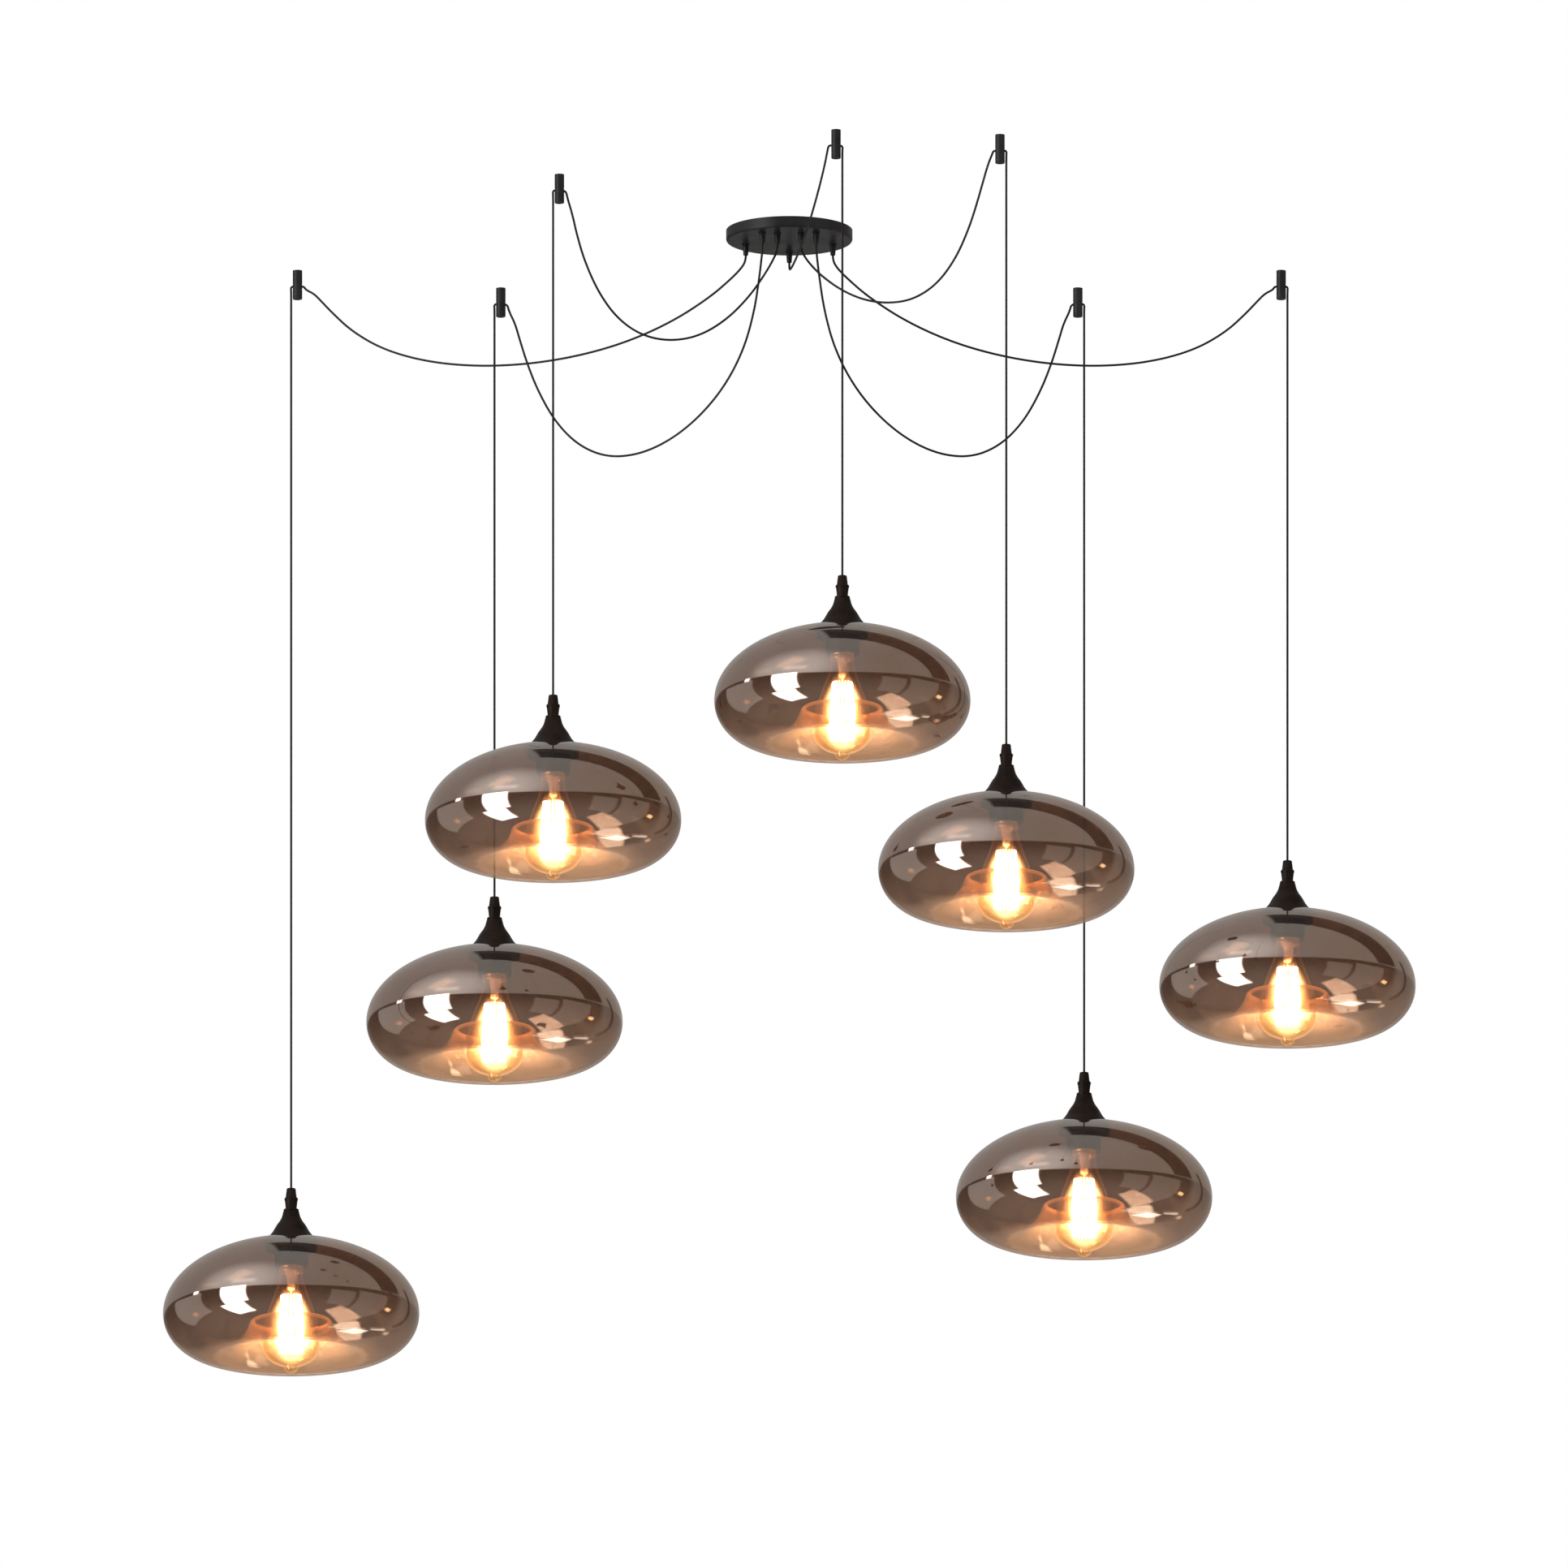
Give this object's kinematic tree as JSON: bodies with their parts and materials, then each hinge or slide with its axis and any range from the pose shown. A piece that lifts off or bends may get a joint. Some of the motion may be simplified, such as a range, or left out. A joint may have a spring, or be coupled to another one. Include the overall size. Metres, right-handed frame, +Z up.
{
  "type": "glass pendant light",
  "caption": "Swag chandelier: a round ceiling canopy feeds cords that loop through ceiling hooks and drop to smoked glass shades with rolled-in bell mouths and tall filament bulbs.",
  "frame": {"origin": "middle of the canopy's top on the ceiling plane", "axes": "+Z up into the ceiling, -Y towards the viewer, +X to the viewer's right"},
  "size_m": [1.3678, 1.021, 1.2375],
  "materials": {
    "canopy_paint": "satin black powder coat",
    "plated_steel": "zinc plated",
    "block_plastic": "moulded, matte",
    "cord_cover": "smooth black cable jacket",
    "bronze_metal": "dark bronze, satin",
    "holder_plastic": "black thermoset, matte",
    "smoke_glass": "smoky brown, half mirrored, glossy",
    "lamp_glass": "clear amber, lit from inside"
  },
  "bodies": {
    "ceiling_set": {"canopy_pan": "canopy_paint", "mounting_bracket": "plated_steel", "canopy_screws": "plated_steel", "terminal_block": "block_plastic", "canopy_cord_grips": "canopy_paint", "canopy_lock_nuts": "plated_steel", "lead_tails": "cord_cover", "ceiling_hooks": "canopy_paint", "hook_clamp_screws": "plated_steel", "swag_cord_1": "cord_cover", "swag_cord_2": "cord_cover", "swag_cord_3": "cord_cover", "swag_cord_4": "cord_cover", "swag_cord_5": "cord_cover", "swag_cord_6": "cord_cover", "swag_cord_7": "cord_cover"},
    "pendant_1": {"drop_cord_1": "cord_cover", "cord_grip_1": "bronze_metal", "socket_cap_1": "bronze_metal", "lampholder_1": "holder_plastic", "glass_shade_1": "smoke_glass"},
    "bulb_1": {"bulb_1": "lamp_glass"},
    "pendant_2": {"drop_cord_2": "cord_cover", "cord_grip_2": "bronze_metal", "socket_cap_2": "bronze_metal", "lampholder_2": "holder_plastic", "glass_shade_2": "smoke_glass"},
    "bulb_2": {"bulb_2": "lamp_glass"},
    "pendant_3": {"drop_cord_3": "cord_cover", "cord_grip_3": "bronze_metal", "socket_cap_3": "bronze_metal", "lampholder_3": "holder_plastic", "glass_shade_3": "smoke_glass"},
    "bulb_3": {"bulb_3": "lamp_glass"},
    "pendant_4": {"drop_cord_4": "cord_cover", "cord_grip_4": "bronze_metal", "socket_cap_4": "bronze_metal", "lampholder_4": "holder_plastic", "glass_shade_4": "smoke_glass"},
    "bulb_4": {"bulb_4": "lamp_glass"},
    "pendant_5": {"drop_cord_5": "cord_cover", "cord_grip_5": "bronze_metal", "socket_cap_5": "bronze_metal", "lampholder_5": "holder_plastic", "glass_shade_5": "smoke_glass"},
    "bulb_5": {"bulb_5": "lamp_glass"},
    "pendant_6": {"drop_cord_6": "cord_cover", "cord_grip_6": "bronze_metal", "socket_cap_6": "bronze_metal", "lampholder_6": "holder_plastic", "glass_shade_6": "smoke_glass"},
    "bulb_6": {"bulb_6": "lamp_glass"},
    "pendant_7": {"drop_cord_7": "cord_cover", "cord_grip_7": "bronze_metal", "socket_cap_7": "bronze_metal", "lampholder_7": "holder_plastic", "glass_shade_7": "smoke_glass"},
    "bulb_7": {"bulb_7": "lamp_glass"}
  },
  "joints": [
    {"name": "swing_1", "type": "hinge", "parent": "ceiling_set", "child": "pendant_1", "pos_m": [-0.537, 0.188, -0.0172], "axis": [1, 0, 0], "range_deg": [-10, 10]},
    {"name": "bulb_turn_1", "type": "hinge", "parent": "pendant_1", "child": "bulb_1", "pos_m": [-0.5439, 0.188, -1.111], "axis": [0, 0, 1], "continuous": true},
    {"name": "swing_2", "type": "hinge", "parent": "ceiling_set", "child": "pendant_2", "pos_m": [-0.315, 0.27, -0.0172], "axis": [1, 0, 0], "range_deg": [-10, 10]},
    {"name": "bulb_turn_2", "type": "hinge", "parent": "pendant_2", "child": "bulb_2", "pos_m": [-0.3219, 0.27, -0.764], "axis": [0, 0, 1], "continuous": true},
    {"name": "swing_3", "type": "hinge", "parent": "ceiling_set", "child": "pendant_3", "pos_m": [-0.251, -0.262, -0.0172], "axis": [1, 0, 0], "range_deg": [-10, 10]},
    {"name": "bulb_turn_3", "type": "hinge", "parent": "pendant_3", "child": "bulb_3", "pos_m": [-0.2579, -0.262, -0.665], "axis": [0, 0, 1], "continuous": true},
    {"name": "swing_4", "type": "hinge", "parent": "ceiling_set", "child": "pendant_4", "pos_m": [0.051, -0.471, -0.0172], "axis": [1, 0, 0], "range_deg": [-10, 10]},
    {"name": "bulb_turn_4", "type": "hinge", "parent": "pendant_4", "child": "bulb_4", "pos_m": [0.0579, -0.471, -0.581], "axis": [0, 0, 1], "continuous": true},
    {"name": "swing_5", "type": "hinge", "parent": "ceiling_set", "child": "pendant_5", "pos_m": [0.23, -0.448, -0.0172], "axis": [1, 0, 0], "range_deg": [-10, 10]},
    {"name": "bulb_turn_5", "type": "hinge", "parent": "pendant_5", "child": "bulb_5", "pos_m": [0.2369, -0.448, -0.765], "axis": [0, 0, 1], "continuous": true},
    {"name": "swing_6", "type": "hinge", "parent": "ceiling_set", "child": "pendant_6", "pos_m": [0.315, 0.27, -0.0172], "axis": [1, 0, 0], "range_deg": [-10, 10]},
    {"name": "bulb_turn_6", "type": "hinge", "parent": "pendant_6", "child": "bulb_6", "pos_m": [0.3219, 0.27, -0.961], "axis": [0, 0, 1], "continuous": true},
    {"name": "swing_7", "type": "hinge", "parent": "ceiling_set", "child": "pendant_7", "pos_m": [0.537, 0.188, -0.0172], "axis": [1, 0, 0], "range_deg": [-10, 10]},
    {"name": "bulb_turn_7", "type": "hinge", "parent": "pendant_7", "child": "bulb_7", "pos_m": [0.5439, 0.188, -0.743], "axis": [0, 0, 1], "continuous": true}
  ]
}
